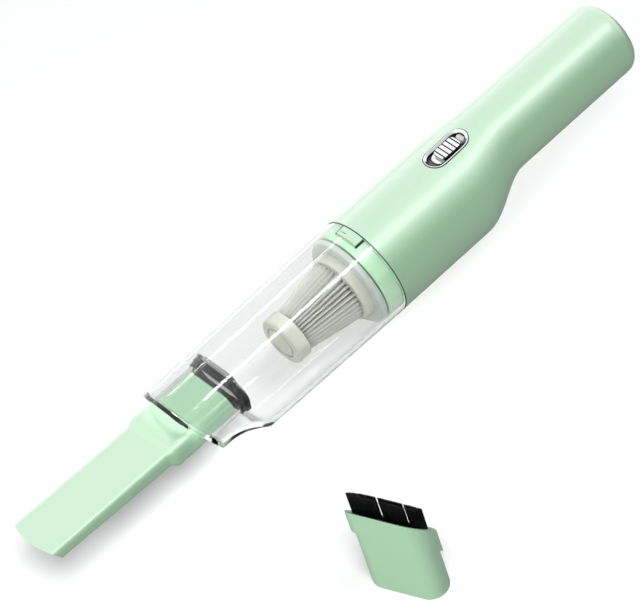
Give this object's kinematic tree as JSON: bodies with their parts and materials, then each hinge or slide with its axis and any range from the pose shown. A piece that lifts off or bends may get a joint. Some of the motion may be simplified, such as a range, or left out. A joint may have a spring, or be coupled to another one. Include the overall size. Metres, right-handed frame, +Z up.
{
  "type": "handheld vacuum cleaner",
  "caption": "Cordless desktop hand vacuum: slim handle with slide switch, clear dust cup with pleated filter, flat crevice nozzle and a loose slanted dusting brush.",
  "frame": {"origin": "on the surface the vacuum lies on, under the centre of the box round the vacuum and its loose brush", "axes": "+X along the vacuum from nozzle to handle end, +Z up, on the switch side, -Y toward the loose brush"},
  "size_m": [0.3711, 0.1702, 0.0669],
  "materials": {
    "mint_plastic": "satin moulded ABS",
    "clear_plastic": "clear polished polycarbonate",
    "black_rubber": "soft matt rubber",
    "black_plastic": "fine matt",
    "clear_silicone": "clear silicone",
    "frosted_plastic": "translucent satin",
    "cream_plastic": "satin",
    "filter_paper": "pleated, matt",
    "chromed_plastic": "polished plating",
    "white_lens": "translucent polished dome",
    "bristle": "nylon filament",
    "motor_steel": "drawn, zinc plated",
    "screw_steel": "blackened",
    "spring_steel": "drawn wire",
    "ferrite": "sintered, matt",
    "bush_brass": "sintered",
    "copper": "bare copper",
    "cell_sleeve": "shrink sleeve",
    "nickel": "rolled strip",
    "circuit_board": "solder mask",
    "chassis_plastic": "fine matt",
    "foam": "open cell",
    "red_wire": "insulation",
    "black_wire": "insulation"
  },
  "bodies": {
    "body": {"body_shell": "mint_plastic", "spigot_ring": "mint_plastic", "spigot_screws": "screw_steel", "button_spring": "spring_steel", "fan_housing": "black_plastic", "motor_can": "motor_steel", "motor_screws": "screw_steel", "motor_end_cap": "black_plastic", "motor_bushes": "bush_brass", "motor_terminals": "copper", "motor_magnets": "ferrite", "motor_mount": "black_rubber", "exhaust_foam": "foam", "inner_chassis": "chassis_plastic", "battery_cell": "cell_sleeve", "battery_tabs": "nickel", "control_board": "circuit_board", "board_screws": "screw_steel", "slide_switch": "black_plastic", "status_led": "white_lens", "motor_lead_red": "red_wire", "motor_lead_black": "black_wire", "switch_bezel": "chromed_plastic", "switch_well": "black_plastic", "indicator_lens": "white_lens", "rear_cap": "mint_plastic", "charging_port": "motor_steel", "charge_board": "circuit_board"},
    "rotor": {"rotor_core": "motor_steel", "commutator": "copper", "impeller": "chassis_plastic"},
    "slider": {"switch_slider": "chromed_plastic"},
    "button": {"release_button": "mint_plastic"},
    "filter": {"filter_holder": "frosted_plastic", "filter_base_ring": "cream_plastic", "filter_pleats": "filter_paper", "filter_core": "cream_plastic", "filter_end_cap": "cream_plastic"},
    "cup": {"dust_cup": "clear_plastic", "inlet_ring": "black_rubber", "flap_pin": "spring_steel"},
    "flap": {"inlet_flap": "clear_silicone"},
    "nozzle": {"crevice_nozzle": "mint_plastic"},
    "brush": {"brush_body": "mint_plastic", "brush_carrier": "black_plastic", "brush_bristles": "bristle"}
  },
  "joints": [
    {"name": "cup_pull", "type": "slide", "parent": "body", "child": "cup", "axis": [-1, 0, 0], "range_m": [0, 0.065]},
    {"name": "filter_pull", "type": "slide", "parent": "body", "child": "filter", "axis": [-1, 0, 0], "range_m": [0, 0.015]},
    {"name": "nozzle_pull", "type": "slide", "parent": "cup", "child": "nozzle", "axis": [-1, 0, 0], "range_m": [0, 0.035]},
    {"name": "flap_swing", "type": "hinge", "parent": "cup", "child": "flap", "pos_m": [-0.0694, 0.05906, 0.0432], "axis": [0, -1, 0], "range_deg": [0, 60]},
    {"name": "rotor_spin", "type": "hinge", "parent": "body", "child": "rotor", "pos_m": [0.0482, 0.05906, 0.026], "axis": [1, 0, 0], "continuous": true},
    {"name": "switch_slide", "type": "slide", "parent": "body", "child": "slider", "axis": [-1, 0, 0], "range_m": [0, 0.003]},
    {"name": "button_press", "type": "slide", "parent": "body", "child": "button", "axis": [0, 0, -1], "range_m": [0, 0.0012], "stiffness_N_per_m": 400, "deforming": ["button_spring"]},
    {"name": "brush_lift", "type": "slide", "parent": "body", "child": "brush", "axis": [0, 0, 1], "range_m": [0, 0.05]}
  ]
}
